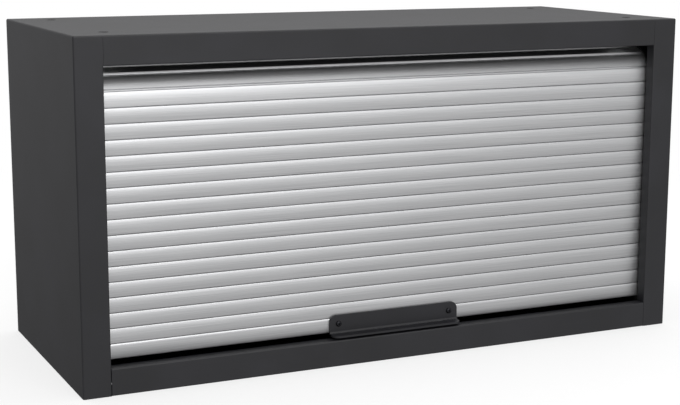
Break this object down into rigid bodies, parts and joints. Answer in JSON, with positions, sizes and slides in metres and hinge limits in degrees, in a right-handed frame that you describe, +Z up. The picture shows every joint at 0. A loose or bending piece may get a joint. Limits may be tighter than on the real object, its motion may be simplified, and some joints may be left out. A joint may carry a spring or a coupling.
{
  "type": "tool cabinet",
  "caption": "Wide wall or bench cabinet in folded sheet steel with a roll-up front of interlocking aluminium slats, a black pull handle and stacking holes.",
  "frame": {"origin": "middle of the casing at floor level", "axes": "+X to the right along the width, the door faces -Y, +Z up"},
  "size_m": [0.68, 0.276, 0.348],
  "materials": {
    "powder_coat": "fine-texture satin powder coat, charcoal black",
    "handle_coat": "satin powder coat, charcoal black",
    "slat_aluminium": "satin anodised, brushed along the slat",
    "channel_coat": "satin black coat",
    "rivet_steel": "zinc plated",
    "screw_steel": "blackened",
    "buffer_rubber": "matte",
    "glide_plastic": "moulded, matte"
  },
  "bodies": {
    "carcass": {"outer_wrap": "powder_coat", "bottom_panel": "powder_coat", "back_panel": "powder_coat", "left_liner": "powder_coat", "right_liner": "powder_coat", "left_channel": "channel_coat", "right_channel": "channel_coat", "left_channel_rivets": "rivet_steel", "right_channel_rivets": "rivet_steel", "left_door_rubber": "buffer_rubber", "right_door_rubber": "buffer_rubber", "left_tail_rubber": "buffer_rubber", "right_tail_rubber": "buffer_rubber", "shroud": "powder_coat", "left_shroud_plate": "powder_coat", "right_shroud_plate": "powder_coat", "shroud_screws": "screw_steel"},
    "door_bar": {"bottom_slat": "slat_aluminium", "bottom_slat_glides": "glide_plastic", "handle": "handle_coat", "handle_nut_strip": "rivet_steel", "handle_screws": "screw_steel"},
    "link_1": {"slat_01": "slat_aluminium"},
    "link_2": {"slat_02": "slat_aluminium", "slat_02_glides": "glide_plastic"},
    "link_3": {"slat_03": "slat_aluminium"},
    "upper_curtain": {"slat_04": "slat_aluminium", "slat_05": "slat_aluminium", "slat_06": "slat_aluminium", "slat_07": "slat_aluminium", "slat_08": "slat_aluminium", "slat_09": "slat_aluminium", "slat_10": "slat_aluminium", "slat_11": "slat_aluminium", "slat_12": "slat_aluminium", "slat_13": "slat_aluminium", "slat_14": "slat_aluminium", "slat_15": "slat_aluminium", "slat_16": "slat_aluminium", "slat_17": "slat_aluminium", "slat_18": "slat_aluminium", "slat_19": "slat_aluminium", "slat_20": "slat_aluminium", "slat_21": "slat_aluminium", "curtain_glides": "glide_plastic"}
  },
  "joints": [
    {"name": "door_lift", "type": "slide", "parent": "carcass", "child": "door_bar", "axis": [0, 0, 1], "range_m": [0, 0.23025], "deforming": ["slat_01", "slat_02", "slat_03", "slat_04", "slat_05", "slat_06", "slat_07", "slat_08", "slat_09", "slat_10", "slat_11", "slat_12", "slat_13", "slat_14", "slat_15", "slat_16", "slat_17", "slat_18", "slat_19", "slat_20", "slat_21", "slat_02_glides", "curtain_glides"]},
    {"name": "knuckle_1", "type": "hinge", "parent": "door_bar", "child": "link_1", "pos_m": [0, -0.1208, 0.0501], "axis": [-1, 0, 0], "range_deg": [0, 4.08]},
    {"name": "knuckle_2", "type": "hinge", "parent": "link_1", "child": "link_2", "pos_m": [0, -0.1208, 0.06545], "axis": [-1, 0, 0], "range_deg": [0, 31.93]},
    {"name": "knuckle_3", "type": "hinge", "parent": "link_2", "child": "link_3", "pos_m": [0, -0.1208, 0.0808], "axis": [-1, 0, 0], "range_deg": [0, 37.25]},
    {"name": "curtain_turn", "type": "hinge", "parent": "door_bar", "child": "upper_curtain", "pos_m": [0, -0.11534, 0.07679], "axis": [-1, 0, 0], "range_deg": [0, 90]}
  ],
  "couplings": [
    {"joint": "knuckle_1", "follows": "door_lift", "rad_per_m": 0.30958},
    {"joint": "knuckle_2", "follows": "door_lift", "rad_per_m": 2.4201},
    {"joint": "knuckle_3", "follows": "door_lift", "rad_per_m": 2.8233},
    {"joint": "curtain_turn", "follows": "door_lift", "rad_per_m": 6.8221}
  ]
}
